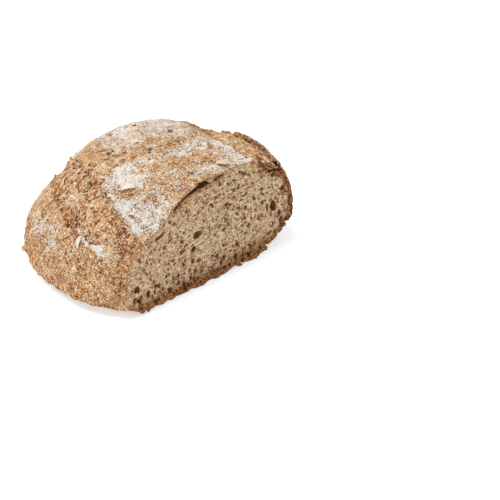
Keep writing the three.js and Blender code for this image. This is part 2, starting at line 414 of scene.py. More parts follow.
# Larger holes of the cut face: X, Z, half length, half width, depth.
HOLES = [
    (54.3, 30.0, 4.3, 2.6, 6.0), (59.6, 23.0, 2.4, 1.7, 4.0), (61.3, 16.6, 3.0, 1.5, 3.4),
    (66.3, 15.3, 3.8, 1.3, 3.4), (69.0, 10.5, 3.4, 1.8, 4.5), (61.9, 39.8, 2.6, 1.1, 2.2),
    (50.8, 44.4, 1.4, 0.7, 1.6), (30.2, 47.8, 1.8, 0.7, 1.9), (24.3, 40.3, 2.1, 0.8, 1.9),
    (41.4, 26.5, 1.8, 1.5, 1.6), (32.8, 23.6, 1.0, 0.8, 2.6), (-9.5, 35.2, 3.6, 2.3, 3.4),
    (-13.1, 26.8, 2.4, 1.7, 4.0), (-20.5, 28.5, 1.9, 0.9, 1.6), (21.6, 7.1, 2.3, 1.7, 4.6),
    (25.7, 64.1, 2.0, 0.6, 2.0), (21.1, 60.4, 1.6, 0.9, 2.0), (-39.3, 45.6, 4.2, 1.2, 3.0),
    (-31.2, 40.2, 2.4, 0.9, 1.6), (-18.8, 31.6, 1.9, 0.9, 1.8), (-49.3, 33.3, 1.9, 1.1, 1.6),
    (-46.4, 38.2, 1.9, 0.7, 1.5), (-47.3, 25.1, 1.5, 0.8, 1.5), (-44.4, 17.5, 1.7, 0.9, 1.6),
    (-57.4, 17.0, 3.0, 2.2, 3.4), (-49.2, 11.2, 2.7, 1.6, 3.6), (-44.1, 10.4, 1.6, 1.0, 2.4),
    (-32.1, 6.1, 2.0, 1.3, 3.6), (-56.0, 8.7, 2.4, 1.6, 4.2), (-24.1, 4.0, 1.1, 0.7, 2.0),
    (-13.5, 6.1, 1.9, 0.7, 2.2), (-17.0, 53.9, 2.6, 1.5, 1.2), (-1.9, 54.0, 2.6, 1.6, 0.9),
    (50.5, 56.5, 1.9, 1.0, 5.0), (54.5, 55.5, 2.4, 1.2, 5.0), (53.0, 51.8, 1.7, 0.9, 4.0),
    (58.5, 53.5, 1.6, 0.8, 3.5), (46.0, 60.0, 1.7, 0.7, 3.5),
]

SMALL_HOLES = 2500  # tries; those too near the crust are left out
SMALL_HOLE = (0.60, 0.42, 0.42, 1.7)  # its half length: middle, spread, least and most
FACE_LOW, FACE_HIGH = (-70, 2), (74, 72)  # X and Z that the small holes lie between
FACE_DEPTH = 7.0  # how far behind the knife cut the sponge and the gap are carved

# Gap between the skin and the crumb along the cut's top edge: X range and widest X.
GAP_FROM, GAP_WIDEST, GAP_TO = -28.0, -3.0, 13.0
GAP_UNDER = 2.2  # depth of its middle below the crust
GAP_ABOVE = 40  # least height above the base


def sponge_noise(points, size, seed):
    """Noise drawn out along the crust: flat in the middle and upright at both sides."""
    flat = layered(points / np.array([DRAWN, 1, 1], np.float32), size, seed, layers=2)
    upright = layered(points / np.array([1, 1, DRAWN], np.float32), size, seed + 1, layers=2)
    side = smooth(SIDE_FROM, SIDE_TO, np.abs(points[:, 0] - GRAIN_MIDDLE[0]))
    return flat * (1 - side) + upright * side


def grain_turn(x, z):
    """Direction of the crumb's rings at a place of the cut face."""
    away_x = (x - GRAIN_MIDDLE[0]) ** 3
    away_z = ((z - GRAIN_MIDDLE[1]) * GRAIN_SQUASH) ** 3 * GRAIN_SQUASH
    return math.atan2(away_x, -away_z)


def carve_hole(shape, volume, x, z, along, across, depth, turn):
    """One hole in the cut face: an ellipsoid whose widest part lies just inside."""
    centre = np.array([x, 0.25 * depth, z])
    cells, (dx, dy, dz) = volume.block(centre, np.array([along, depth, along]) + 1.5)
    u, v = turned(dx, dz, turn)
    u, v = u / along, v / across
    inside = (1 - np.sqrt(u * u + v * v + (dy / depth) ** 2)) * min(along, across, depth)
    shape[cells] = np.maximum(shape[cells], inside)


def face_level(points):
    """How far the crumb's surface stands back from the knife cut; the base crust sticks out."""
    sponge = sponge_noise(points, 1.5, 31)
    level = 0.15 + 0.2 * noise(points, (6, 40, 6), 32) + 0.20 * sponge
    level += 0.45 * smooth(0.50, 1.0, sponge)
    level -= (1.5 + 1.2 * noise(points, (4, 40, 3), 34)) * smooth(6.0, 1.5, points[:, 2])
    torn = smooth(6.0, 2.0, from_line(points, *CLUMP))
    level -= torn * (0.6 + 1.9 * layered(points, (3.0, 20, 3.0), 37, layers=2))
    return np.maximum(level, -STICKS_OUT)


def skin_gap(points, depth):
    """The gap under the skin at the cut's top edge, as a distance (positive inside)."""
    swell = smooth(GAP_FROM, GAP_WIDEST, points[:, 0]) * smooth(GAP_TO, GAP_WIDEST, points[:, 0])
    half = 0.65 + 1.05 * swell + 0.25 * noise(points, 4, 33)
    reach = np.sqrt(((depth - GAP_UNDER) / half) ** 2 + (points[:, 1] / FACE_DEPTH) ** 2)
    inside = (1 - reach) * np.maximum(half, 0.05)
    return np.where((swell > 0) & (points[:, 2] > GAP_ABOVE), inside, -1)


def carve_cut(shape, volume):
    """The knife cut, with the crumb's holes."""
    layers = int(FACE_DEPTH / CELL)
    front = np.zeros(shape.shape, bool)
    front[:, :layers] = shape[:, :layers] < SKIN
    points = volume.places(front)
    depth = -shape[front]
    cut = face_level(points) - points[:, 1]
    shape[front] = np.maximum(shape[front], np.maximum(cut, skin_gap(points, depth)))

    rng = np.random.default_rng(SEED)
    for x, z, along, across, depth in HOLES:
        turn = grain_turn(x, z) + rng.uniform(-0.2, 0.2)
        carve_hole(shape, volume, x, z, along, across, depth, turn)
    spots = rng.uniform(FACE_LOW, FACE_HIGH, (SMALL_HOLES, 2))
    inside = volume.depth_at(np.stack([spots[:, 0], np.zeros(len(spots)), spots[:, 1]], 1))
    least = np.where((spots[:, 0] > 50) | (spots[:, 1] < 9), 0.8, 2.2)
    for x, z in spots[inside > least]:
        along = uneven(rng, *SMALL_HOLE)
        across = max(along * rng.uniform(0.55, 0.95), 0.40)
        turn = grain_turn(x, z) + rng.normal(0, 0.35)
        if z < 12 or x > 50:
            along, across = along * 1.25, across * 1.1
        carve_hole(shape, volume, x, z, along, across, along * rng.uniform(0.8, 1.8), turn)


# ---- From volume to mesh


def largest_island(count, faces):
    """Marks the vertices of the largest connected part."""
    label = np.arange(count)
    edges = np.concatenate([faces[:, [0, 1]], faces[:, [1, 2]]])
    while True:
        least = np.minimum(label[edges[:, 0]], label[edges[:, 1]])
        new = label.copy()
        np.minimum.at(new, edges[:, 0], least)
        np.minimum.at(new, edges[:, 1], least)
        new = new[new]
        if (new == label).all():
            break
        label = new
    return label == np.bincount(label).argmax()


def mesh_from(shape, volume):
    """The zero level of the volume as points and triangles, in millimetres."""
    grid = vdb.FloatGrid()
    grid.copyFromArray(shape, ijk=tuple(int(v) for v in volume.low))
    grid.transform = volume.scale
    points, triangles, quads = grid.convertToPolygons(isovalue=0.0, adaptivity=0.0)
    halves = np.concatenate([quads[:, [0, 1, 2]], quads[:, [0, 2, 3]]])
    faces = np.concatenate([triangles, halves]).astype(np.int64)
    keep = largest_island(len(points), faces)
    faces = faces[keep[faces[:, 0]]]
    return points, faces


def used_by(faces, count):
    """Marks the points that some faces use."""
    used = np.zeros(count, bool)
    used[faces.ravel()] = True
    return used


def add_object(name, data):
    """An object of a mesh, a camera or a light, in the scene."""
    thing = bpy.data.objects.new(name, data)
    bpy.context.scene.collection.objects.link(thing)
    return thing


def make_object(name, points, faces, material):
    """A smooth-shaded object from triangles in the loaf's coordinates."""
    mesh = bpy.data.meshes.new(name)
    mesh.vertices.add(len(points))
    mesh.vertices.foreach_set("co", ((points - OFFSET) * MM).astype(np.float32).ravel())
    mesh.loops.add(faces.size)
    mesh.loops.foreach_set("vertex_index", faces.astype(np.int32).ravel())
    mesh.polygons.add(len(faces))
    mesh.polygons.foreach_set("loop_start", np.arange(0, faces.size, 3, dtype=np.int32))
    mesh.update(calc_edges=True)
    mesh.validate()
    mesh.shade_smooth()
    mesh.materials.append(material)
    return add_object(name, mesh)


def thin_out(thing, fixed):
    """Drops triangles where the surface is plain, but moves none of the fixed points."""
    count = len(thing.data.polygons)
    if count <= MOST_FACES:
        return
    loose = thing.vertex_groups.new(name="loose")
    loose.add(np.nonzero(~fixed)[0].tolist(), 1.0, "REPLACE")
    reduce = thing.modifiers.new("thin", "DECIMATE")
    reduce.ratio = MOST_FACES / count
    reduce.vertex_group = loose.name
    bpy.context.view_layer.objects.active = thing
    bpy.ops.object.modifier_apply(modifier=reduce.name)
    thing.vertex_groups.clear()


def read_vertices(thing, what="co"):
    """The places or another triple of numbers of an object's vertices."""
    values = np.zeros(len(thing.data.vertices) * 3, np.float32)
    thing.data.vertices.foreach_get(what, values)
    return values.reshape(-1, 3)


def places_of(thing):
    """An object's vertices in the loaf's coordinates."""
    return read_vertices(thing) / MM + OFFSET.astype(np.float32)


def set_field(thing, name, values):
    """Stores a number for each vertex, for the material to read."""
    attribute = thing.data.attributes.new(name, "FLOAT", "POINT")
    attribute.data.foreach_set("value", np.asarray(values, np.float32))


# ---- Flour and baking

# Thick flour: two ends of a line, how far it spreads and how much it adds.
FLOUR = [
    ((-46.5, 32, 57), (-48.5, 11, 49), 8.0, 0.62),
    ((-42, 21, 57), (-38, 7, 54), 10.0, 0.45),
    ((-43.6, 46, 58.3), (-45.2, 39, 57.3), 3.2, 0.55),
    ((-27, 46, 66), (-33, 32, 65), 9.0, 0.58),
    ((4.5, 86, 66), (-1, 62, 70), 8.0, 0.55),
    ((-8.5, 52.5, 70), (2.5, 50.5, 71), 3.4, 0.50),
    ((14, 36, 72), (16.5, 25, 73), 3.4, 0.45),
    ((8.2, 29, 73), (20.9, 27.7, 73), 3.4, 0.42),
    ((-4, 31.6, 71), (4.5, 29.8, 71.5), 3.2, 0.45),
    ((-13, 39, 72), (-11, 26.5, 72), 3.2, 0.40),
    ((31, 26, 72), (30.5, 3, 70), 6.5, 0.46),
    ((40.5, 40, 70), (35.5, 5, 71), 3.6, 0.45),
    ((-63.8, 44, 41.5), (-66.8, 22, 39.0), 5.0, 0.85),
    ((-39.0, 31, 62.7), (-29.5, 19, 66.5), 3.6, -0.42),
    ((-29.4, 19, 66.5), (-23.4, 24, 69.7), 4.0, -0.25),
    ((-22, 66, 68.5), (-22, 54, 69.5), 9.0, -0.26),
    ((-28, 80, 63), (-16, 88, 64), 13.0, -0.34),
    ((60.3, 15, 61.4), (60.5, 34, 62.5), 5.0, -0.40),
    ((-64, 86, 29), (-67.5, 56, 36), 6.0, 0.22),
    ((-71.5, 69, 27.5), (-72.6, 52.5, 28.6), 5.0, 0.22),
    ((-71.5, 62, 31), (-71, 34, 31), 8.0, 0.15),
]

MOST_FLOUR = 0.98
SLOPE_SPAN = 0.5  # how far to each side the plain crust's slope is measured


def steep_share(volume, points, normals):
    """1 where the surface stands up from the plain crust below it and 0 where it lies flat."""
    shifts = SLOPE_SPAN * np.eye(3)
    rises = [volume.depth_at(points - shift) - volume.depth_at(points + shift) for shift in shifts]
    plain = np.stack(rises, 1)
    plain /= np.maximum(np.linalg.norm(plain, axis=1, keepdims=True), 1e-6)
    return smooth(0.92, 0.55, (plain * normals).sum(1))


def flour_share(points, normals, torn, steep):
    """How much of the crust the flour hides at each place."""
    x, y, z = points.T
    share = 0.22 + 0.10 * smooth(40, 66, z) + 0.30 * smooth(38, 85, y) * smooth(-30, 12, x)
    share += 0.30 * noise(points, (13, 7, 12), 41) + 0.20 * noise(points, 5.5, 42)
    share -= 0.26 * smooth(32, 12, z) + 0.10 * smooth(50, 35, z)
    share -= 0.20 * smooth(14, 3, y) * smooth(46, 38, z)
    wander = 2.4 * layered(points, 5, 43, layers=2)
    for start, end, spread, more in FLOUR:
        near = from_line(points, start, end) + wander
        share += more * smooth(spread, 0.35 * spread, near)
    share -= torn * (0.08 + 0.75 * share)
    share = np.minimum(share, MOST_FLOUR) - 0.55 * steep
    return share * smooth(-0.35, 0.1, normals[:, 2])


def baking_and_shade_share(points, left, right, steep):
    """How dark the crust is baked, 0 pale to 1 dark, with painted shade added on the steep sides of
    lumps and ledges.
    """
    y, z = points[:, 1], points[:, 2]
    browning_and_shade = 0.42 + 0.26 * noise(points, 13, 51) + 0.20 * noise(points, 4.5, 52)
    browning_and_shade += 0.15 * left - 0.02 * right * smooth(30, 50, z)
    browning_and_shade += 0.19 * smooth(38, 18, z) - 0.20 * smooth(13, 3, z)
    outer_edge = np.abs(score_sides(points, RIGHT_SCORE)[1])
    browning_and_shade += 0.06 * smooth(5, 2, outer_edge) * smooth(46, 38, y) * smooth(45, 55, z)
    browning_and_shade += 0.50 * smooth(6.5, 3.0, from_line(points, *CLUMP))
    browning_and_shade += 0.12 * smooth(8, 3, from_line(points, *FAR_TEAR))
    # Painted shade: the steep sides of lumps and ledges are made darker.
    return browning_and_shade + 0.24 * steep


# ---- Materials

FULL_LIGHT = 1.45  # brightness of a white surface that faces up, where 1 is a white screen
OWN_SHADE = 0.92  # share of the light that a rough surface keeps between its own lumps
SCREEN_GAMMA = 2.2
DULL = 0.25  # strength of the faint shine of dry crust and crumb
SEED_SHIFT = (7.31, 3.17, 5.53)  # how far each seed moves the noise, in millimetres

# A mix node's sockets for what it mixes: two inputs and the output.
MIX_SOCKETS = {"RGBA": (6, 7, 2), "FLOAT": (2, 3, 0)}


def display(red, green, blue):
    """The colour of a surface that looks like this on a screen in the full light."""
    light = [(v / 255) ** SCREEN_GAMMA / FULL_LIGHT / OWN_SHADE for v in (red, green, blue)]
    return (*light, 1.0)


class Graph:
    """A material built node by node, with places and sizes in millimetres."""

    def __init__(self, name, roughness):
        self.material = bpy.data.materials.new(name)
        self.material.use_nodes = True
        self.nodes = self.material.node_tree.nodes
        self.links = self.material.node_tree.links
        self.surface = self.nodes["Principled BSDF"]
        self.surface.inputs["Roughness"].default_value = roughness
        self.surface.inputs["Specular IOR Level"].default_value = DULL
        place = self.nodes.new("ShaderNodeTexCoord").outputs["Object"]
        self.place = self.vector("MULTIPLY_ADD", place, (1 / MM,) * 3, tuple(OFFSET))

    def put(self, socket, value):
        """Links a socket to another one or gives it a value."""
        if isinstance(value, bpy.types.NodeSocket):
            self.links.new(value, socket)
        else:
            socket.default_value = value

    def operate(self, kind, operation, values):
        node = self.nodes.new(kind)
        node.operation = operation
        for socket, value in zip(node.inputs, values):
            self.put(socket, value)
        return node.outputs[0]

    def math(self, operation, *values):
        return self.operate("ShaderNodeMath", operation, values)

    def vector(self, operation, *values):
        return self.operate("ShaderNodeVectorMath", operation, values)

    def across(self):
        """The X of each place."""
        split = self.nodes.new("ShaderNodeSeparateXYZ")
        self.put(split.inputs[0], self.place)
        return split.outputs["X"]

    def field(self, name):
        """A number that the mesh holds for each vertex."""
        node = self.nodes.new("ShaderNodeAttribute")
        node.attribute_name = name
        return node.outputs["Fac"]

    def noise(self, size, seed, detail, squeeze=None):
        """Noise around 0.5 with lumps of about a size, longer along an axis that is squeezed."""
        node = self.nodes.new("ShaderNodeTexNoise")
        place = self.vector("MULTIPLY", self.place, squeeze) if squeeze else self.place
        shift = tuple(seed * step for step in SEED_SHIFT)
        self.put(node.inputs["Vector"], self.vector("ADD", place, shift))
        node.inputs["Scale"].default_value = 1 / size
        node.inputs["Detail"].default_value = detail
        return node.outputs["Fac"]

    def step(self, value, low, high):
        """0 at low, 1 at high and an even curve between."""
        node = self.nodes.new("ShaderNodeMapRange")
        node.interpolation_type = "SMOOTHSTEP"
        self.put(node.inputs["Value"], value)
        node.inputs["From Min"].default_value = low
        node.inputs["From Max"].default_value = high
        return node.outputs["Result"]

    def mix(self, share, first, second, kind="RGBA"):
        """A colour between two colours."""
        node = self.nodes.new("ShaderNodeMix")
        node.data_type = kind
        low, high, result = MIX_SOCKETS[kind]
        self.put(node.inputs[0], share)
        self.put(node.inputs[low], first)
        self.put(node.inputs[high], second)
        return node.outputs[result]

    def blend(self, share, first, second):
        """A number between two numbers."""
        return self.mix(share, first, second, "FLOAT")

    def speckle(self, first, second, noise, low, high):
        """The first colour with specks of the second where a noise is high."""
        return self.mix(self.step(self.noise(*noise), low, high), first, second)

    def ramp(self, value, stops):
        """Colours along a value: pairs of place and colour."""
        node = self.nodes.new("ShaderNodeValToRGB")
        self.put(node.inputs["Fac"], value)
        elements = node.color_ramp.elements
        while len(elements) < len(stops):
            elements.new(0.5)
        for element, (at, colour) in zip(elements, stops):
            element.position = at
            element.color = colour
        return node.outputs["Color"]

    def total(self, *terms):
        """Sum of pairs of a value and its weight."""
        result = 0.0
        for value, weight in terms:
            result = self.math("MULTIPLY_ADD", value, weight, result)
        return result

    def finish(self, colour, height):
        """Sets the colour and a fine relief whose height is in millimetres."""
        self.put(self.surface.inputs["Base Color"], colour)
        node = self.nodes.new("ShaderNodeBump")
        node.inputs["Distance"].default_value = MM
        self.put(node.inputs["Height"], height)
        self.links.new(node.outputs["Normal"], self.surface.inputs["Normal"])
        return self.material


BREAD_ROUGHNESS = 0.85
GRAIN_ROUGHNESS = 0.8

DARK = display(104, 58, 38)
RED_BROWN = display(158, 96, 62)
ORANGE_BROWN = display(206, 143, 87)
TAN = display(230, 182, 128)
STRAW = display(246, 220, 180)
GOLD_BROWN = display(164, 106, 62)
GOLD = display(208, 152, 92)
PALE_GOLD = display(234, 192, 140)
FLOUR_CREAM = display(248, 230, 200)
FLOUR_WHITE = display(248, 242, 232)

# The crust's colours along its tone, where it is reddish and where it is golden.
RED_CRUST = [(0.08, DARK), (0.29, RED_BROWN), (0.49, ORANGE_BROWN), (0.66, TAN), (0.84, STRAW)]
GOLD_CRUST = [(0.05, DARK), (0.27, GOLD_BROWN), (0.49, GOLD), (0.68, PALE_GOLD), (0.86, STRAW)]

FILM_STRENGTH = 0.26  # share of the crust's colour that a thin film of flour hides
SPECK_STRENGTH = 0.92  # and a speck of flour
SPECKS_FROM = 2.89  # specks show where the sum of what gathers them is above this


def baked_colour(graph, browning_and_shade, raised, fine, middle):
    """Crust colour from how dark it is baked with painted shade, how it stands out and two layers of
    noise.
    """
    # What stands out is made paler, a painted highlight, and what lies low is made darker, painted
    # shade.
    tone = graph.total((fine, 1.95), (middle, 0.85), (browning_and_shade, -0.5), (raised, 0.23))
    tone = graph.math("ADD", tone, -0.65)
    golden = graph.step(graph.noise(11.0, 9, 2.0), 0.36, 0.66)
    golden = graph.math("MULTIPLY", golden, graph.blend(graph.field("torn"), 0.9, 0.3))
    return graph.mix(golden, graph.ramp(tone, RED_CRUST), graph.ramp(tone, GOLD_CRUST))


def hairlines(graph, size, width, seed):
    """1 along thin wandering lines and 0 elsewhere."""
    away = graph.math("ABSOLUTE", graph.math("SUBTRACT", graph.noise(size, seed, 2.5), 0.5))
    return graph.step(away, width, 0.0)


def strand_texture(graph, size, seed, detail):
    """Noise drawn out across the left score and along the right one."""
    left = graph.noise(size, seed, detail, (0.55, 1, 0.55))
    right = graph.noise(size, seed, detail, (1, 0.5, 1))
    return graph.blend(graph.step(graph.across(), 0.0, 10.0), left, right)


def dusted(graph, colour, raised, crack_and_hollow_shade):
    """The colour under a film and specks of flour, the specks' noise and where they are."""
    flour = graph.field("flour")
    specks = graph.noise(0.92, 3, 1.2)
    clouds = graph.noise(3.2, 4, 3.0)
    film = graph.step(graph.total((clouds, 1.2), (flour, 0.9)), 0.75, 1.6)
    colour = graph.mix(graph.math("MULTIPLY", film, FILM_STRENGTH), colour, FLOUR_WHITE)
    cover = graph.total((specks, 3.5), (clouds, 1.3), (flour, 1.0), (raised, 0.12), (crack_and_hollow_shade, -0.5))
    cover = graph.step(graph.math("ADD", cover, -SPECKS_FROM), -0.10, 0.14)
    white = graph.mix(graph.step(flour, 0.05, 0.45), FLOUR_CREAM, FLOUR_WHITE)
    colour = graph.mix(graph.math("MULTIPLY", cover, SPECK_STRENGTH), colour, white)
    return colour, specks, cover


def crust_material():
    """Baked skin with fine dark crack lines, painted shade in its hollows, and flour caught on it."""
    graph = Graph("crust", BREAD_ROUGHNESS)
    torn, raised = graph.field("torn"), graph.field("raised")
    fine = graph.blend(torn, graph.noise(0.88, 1, 1.5), strand_texture(graph, 1.0, 6, 1.6))
    middle = graph.blend(torn, graph.noise(2.7, 2, 3.0), strand_texture(graph, 2.8, 7, 3.0))
    lines = hairlines(graph, 4.5, 0.018, 8)
    faint_lines = graph.math("MULTIPLY", lines, 0.5)
    # Dark crack lines, and painted shade in hollows more than half a millimetre deep.
    crack_and_hollow_shade = graph.math("MAXIMUM", faint_lines, graph.step(raised, -0.5, -1.2))
    baked = baked_colour(graph, graph.field("browning_and_shade"), raised, fine, middle)
    baked = graph.mix(crack_and_hollow_shade, baked, DARK)
    colour, specks, cover = dusted(graph, baked, raised, crack_and_hollow_shade)
    grain = graph.noise(0.55, 5, 1.0)
    height = graph.total((fine, 0.9), (grain, 0.35), (specks, 0.5), (cover, 0.12), (lines, -0.3))
    return graph.finish(colour, height)


CRUMB_LIGHT = display(253, 230, 194)
CRUMB_MIDDLE = display(204, 166, 123)
CRUMB_SHADE = display(162, 106, 62)
BRAN_BROWN = display(152, 82, 46)
# Painted shade inside the pores, in a warm brown.
PORE_SHADE_BROWN = display(152, 92, 42)
RIM_BROWN = display(124, 72, 38)
RIM_TAN = display(198, 140, 86)
CRUMB_TONES = [(0.55, CRUMB_SHADE), (0.72, CRUMB_MIDDLE), (0.90, CRUMB_LIGHT)]


def sponge_texture(graph, size, seed, detail):
    """Noise drawn out along the crust, as sponge_noise has it."""
    away = graph.math("ABSOLUTE", graph.math("SUBTRACT", graph.across(), GRAIN_MIDDLE[0]))
    flat = graph.noise(size, seed, detail, (1 / DRAWN, 1, 1))
    upright = graph.noise(size, seed + 1, detail, (1, 1, 1 / DRAWN))
    return graph.blend(graph.step(away, SIDE_FROM, SIDE_TO), flat, upright)


def browned(graph, colour):
    """The crumb's colour: brown under the crust; browner low down, partly as a baked base and partly
    as painted shade that reaches higher towards the right; scorched at the torn lump; painted shade in
    the gap under the skin.
    """
    rim = graph.mix(graph.field("rim"), RIM_TAN, RIM_BROWN)
    paler = graph.mix(graph.field("rim"), CRUMB_MIDDLE, RIM_TAN)
    rim = graph.speckle(rim, paler, (1.0, 7, 2.0), 0.46, 0.60)
    rim = graph.speckle(rim, RIM_BROWN, (0.8, 9, 2.0), 0.54, 0.62)
    under = graph.math("MULTIPLY_ADD", graph.noise(2.2, 3, 3.5), 9.0, graph.field("under"))
    colour = graph.mix(graph.step(under, 7.4, 4.6), colour, rim)
    # Browner low down: partly a baked base, partly painted shade towards the lower right.
    burnt_and_shade = graph.speckle(RIM_BROWN, RIM_TAN, (0.9, 10, 2.0), 0.40, 0.66)
    height = graph.math("MULTIPLY_ADD", graph.noise(1.3, 5, 2.5), 18.0, graph.field("height"))
    low = graph.math("MULTIPLY", graph.step(height, 22.0, 11.0), 0.9)
    colour = graph.mix(low, colour, burnt_and_shade)
    scorched = graph.speckle(DARK, ORANGE_BROWN, (1.1, 8, 2.0), 0.42, 0.62)
    colour = graph.mix(graph.field("scorch"), colour, scorched)
    # Painted shade: the gap under the skin is coloured dark.
    return graph.mix(graph.field("gap"), colour, DARK)


def crumb_material():
    """Beige sponge with bran specks, browner towards the crust, with painted shade deeper in its
    pores.
    """
    graph = Graph("crumb", BREAD_ROUGHNESS)
    sponge = sponge_texture(graph, 0.75, 11, 2.5)
    clouds = sponge_texture(graph, 2.6, 13, 2.0)
    colour = graph.ramp(graph.total((sponge, 1.05), (clouds, 0.45)), CRUMB_TONES)
    specks = graph.noise(1.1, 2, 1.5)
    colour = graph.mix(graph.step(specks, 0.60, 0.66), colour, BRAN_BROWN)
    # Painted shade: the pores grow darker the deeper they lie.
    colour = browned(graph, graph.mix(graph.field("pore_shade"), colour, PORE_SHADE_BROWN))
    height = graph.total((sponge, 0.5), (graph.noise(0.5, 4, 1.0), 0.35), (specks, -0.3))
    return graph.finish(colour, height)


OAT_PALE = display(236, 206, 164)
OAT_BROWN = display(160, 102, 60)


def grain_material():
    """Oat flakes and bran from pale straw to brown, dusted with flour."""
    graph = Graph("grain", GRAIN_ROUGHNESS)
    mottle = graph.noise(0.9, 1, 2.5)
    tint = graph.total((mottle, 1.6), (graph.field("tint"), 0.8), (1.0, -0.25))
    colour = graph.mix(graph.step(tint, 0.35, 1.1), OAT_BROWN, OAT_PALE)
    cover = graph.total((graph.noise(1.0, 2, 2.0), 1.6), (graph.field("dust"), 1.0))
    colour = graph.mix(graph.step(cover, 1.1, 1.5), colour, FLOUR_WHITE)
    return graph.finish(colour, graph.math("MULTIPLY", mottle, 0.25))


# ---- The loaf

SKIN_DEPTH = 0.35  # the crumb begins this deep below the crust
MOST_OPEN = 12  # and its surface lies this far behind the knife cut at most
ABOVE_BASE = 0.05


def make_piece(name, points, faces, own, material):
    """An object of some of the faces; the edge that it shares with the others stays in place."""
    used = used_by(faces[own], len(points))
    renumbered = (np.cumsum(used) - 1)[faces[own]]
    piece = make_object(name, points[used], renumbered, material)
    thin_out(piece, used_by(faces[~own], len(points))[used])
    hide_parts("loaf")
    return piece


def set_crust_fields(crust, volume):
    """What the crust's material reads; the volume holds the plain crust."""
    places, normals = places_of(crust), read_vertices(crust, "normal")
    left, right = torn_mask(places, LEFT_SCORE), torn_mask(places, RIGHT_SCORE)
    torn = np.maximum(left, right) * smooth(10, 20, places[:, 2])
    steep = steep_share(volume, places, normals)
    raised = -volume.depth_at(places) - broad_relief(places, left, right)
    set_field(crust, "torn", torn)
    set_field(crust, "flour", flour_share(places, normals, torn, steep))
    set_field(crust, "browning_and_shade", baking_and_shade_share(places, left, right, steep))
    set_field(crust, "raised", np.clip(raised, -2, 1))


def set_crumb_fields(crumb, volume):
    """What the crumb's material reads; the volume holds the carved crust."""
    places = places_of(crumb)
    x, y, z = places.T
    under = volume.depth_at(places)
    below_gap = smooth(GAP_FROM - 6, GAP_FROM + 4, x) * smooth(GAP_TO + 4, GAP_TO - 6, x)
    away = from_line(places, *CLUMP) + 1.6 * layered(places, (3, 20, 3), 36, layers=2)
    # Where the gap's painted shade goes.
    painted_gap_shade = smooth(-0.4, 0.1, skin_gap(places, under)) * smooth(0.2, 1.0, y)
    set_field(crumb, "under", under - 4.2 * below_gap - 3.6 * smooth(44, 62, x))
    # The crumb browns up to about 22 mm above the base; the tilt with X lifts it towards the right,
    # partly as painted shade.
    set_field(crumb, "height", z - 3.5 * smooth(0, 45, x))
    # Painted shade: darker the deeper a point lies behind the knife cut.
    set_field(crumb, "pore_shade", 0.9 * smooth(0.5, 1.8, y))
    set_field(crumb, "rim", np.maximum(smooth(35, 62, x), smooth(9, 4, z)))
    set_field(crumb, "scorch", smooth(6.5, 2.5, away))
    set_field(crumb, "gap", painted_gap_shade)


def make_loaf():
    """The crust and the crumb: one skin, split where the knife cut begins."""
    volume = Volume()
    plain = volume.crust
    skin = carve_crust(volume)
    shape = skin.copy()
    carve_cut(shape, volume)
    heights = (np.arange(shape.shape[2]) + volume.low[2]) * CELL
    shape = np.maximum(shape, -heights[None, None, :].astype(np.float32))
    points, faces = mesh_from(shape, volume)
    volume.crust = skin
    inside = volume.depth_at(points) > SKIN_DEPTH
    first = points[faces[:, 0]]
    open_face = inside[faces].any(axis=1)
    open_face &= (first[:, 1] < MOST_OPEN) & (first[:, 2] > ABOVE_BASE)
    crust = make_piece("crust", points, faces, ~open_face, crust_material())
    crumb = make_piece("crumb", points, faces, open_face, crumb_material())
    set_crumb_fields(crumb, volume)
    volume.crust = plain
    set_crust_fields(crust, volume)
    return crust, crumb


# ---- Oat flakes and bran

EDGE_WAVES = ((2, 0.10), (3, 0.10), (5, 0.06))  # waves round a flake's edge and their heights
EDGE_THINNER = 0.65  # share of its thickness that a flake loses at its edge


